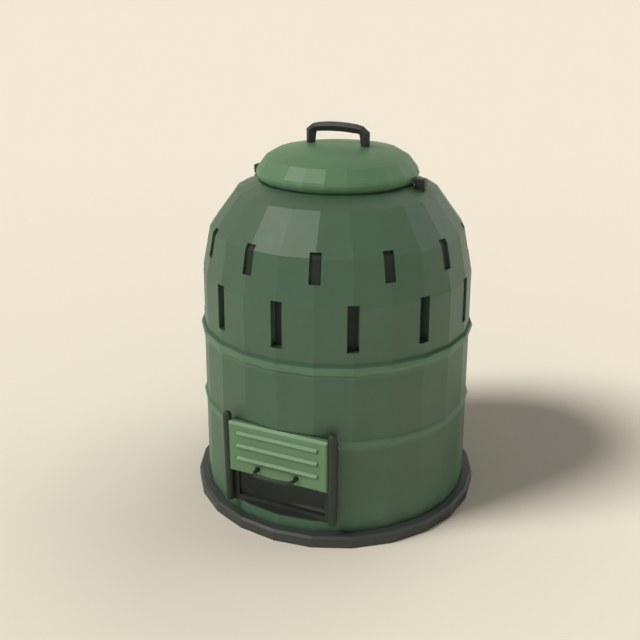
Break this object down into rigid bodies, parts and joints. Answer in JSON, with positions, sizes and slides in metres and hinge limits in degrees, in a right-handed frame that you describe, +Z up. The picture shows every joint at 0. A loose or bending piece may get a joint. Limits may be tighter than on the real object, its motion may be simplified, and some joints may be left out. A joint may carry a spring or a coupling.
{
  "type": "compost bin with lid",
  "caption": "Round domed garden compost bin on a base ring, with vent slots, a sliding hatch at the foot and a lift-off lid held by side clips.",
  "frame": {"origin": "centre of the base, on the ground", "axes": "+Z up; the hatch faces -Y; +X to the right of someone who faces the hatch, towards one lid clip"},
  "size_m": [0.8, 0.8112, 1.016],
  "materials": {
    "shell": "moulded dark green plastic, softly matt",
    "lid": "moulded mid green plastic, smooth and softly matt",
    "hatch": "moulded mid green plastic, softly matt",
    "ring": "moulded charcoal plastic, matt",
    "trim": "moulded dark grey plastic, matt",
    "frame": "moulded black-grey plastic, matt",
    "vent": "moulded near-black plastic, matt",
    "steel": "bare steel screws and pins"
  },
  "bodies": {
    "bin": {"base_ring": "ring", "body_shell": "shell", "hatch_frame": "frame", "rail_left": "trim", "rail_right": "trim", "base_screw_01": "steel", "base_screw_02": "steel", "base_screw_03": "steel", "base_screw_04": "steel", "base_screw_05": "steel", "base_screw_06": "steel", "low_vent_01": "vent", "high_vent_01": "vent", "low_vent_02": "vent", "high_vent_02": "vent", "low_vent_03": "vent", "high_vent_03": "vent", "low_vent_04": "vent", "high_vent_04": "vent", "low_vent_05": "vent", "high_vent_05": "vent", "low_vent_06": "vent", "high_vent_06": "vent", "low_vent_07": "vent", "high_vent_07": "vent", "low_vent_08": "vent", "high_vent_08": "vent", "low_vent_09": "vent", "high_vent_09": "vent", "low_vent_10": "vent", "high_vent_10": "vent", "low_vent_11": "vent", "high_vent_11": "vent", "low_vent_12": "vent", "high_vent_12": "vent", "rail_screw_1": "steel", "rail_screw_2": "steel", "rail_screw_3": "steel", "rail_screw_4": "steel", "clip_bracket_left": "trim", "clip_pin_left": "steel", "clip_screw_left": "steel", "clip_bracket_right": "trim", "clip_pin_right": "steel", "clip_screw_right": "steel"},
    "hatch": {"hatch_panel": "hatch", "hatch_handle": "trim", "hatch_screw_left": "steel", "hatch_screw_right": "steel"},
    "lid": {"lid": "lid", "lid_handle": "trim", "lid_screw_left": "steel", "lid_screw_right": "steel"},
    "clip_left": {"clip_left": "trim"},
    "clip_right": {"clip_right": "trim"}
  },
  "joints": [
    {"name": "hatch_slide", "type": "slide", "parent": "bin", "child": "hatch", "axis": [0, 0, 1], "range_m": [-0.0947, 0.002]},
    {"name": "lid_lift", "type": "slide", "parent": "bin", "child": "lid", "axis": [0, 0, 1], "range_m": [0, 0.15]},
    {"name": "clip_left_hinge", "type": "hinge", "parent": "bin", "child": "clip_left", "pos_m": [-0.237, 0, 0.87], "axis": [0, -1, 0], "range_deg": [-7, 105]},
    {"name": "clip_right_hinge", "type": "hinge", "parent": "bin", "child": "clip_right", "pos_m": [0.237, 0, 0.87], "axis": [0, 1, 0], "range_deg": [-7, 105]}
  ]
}
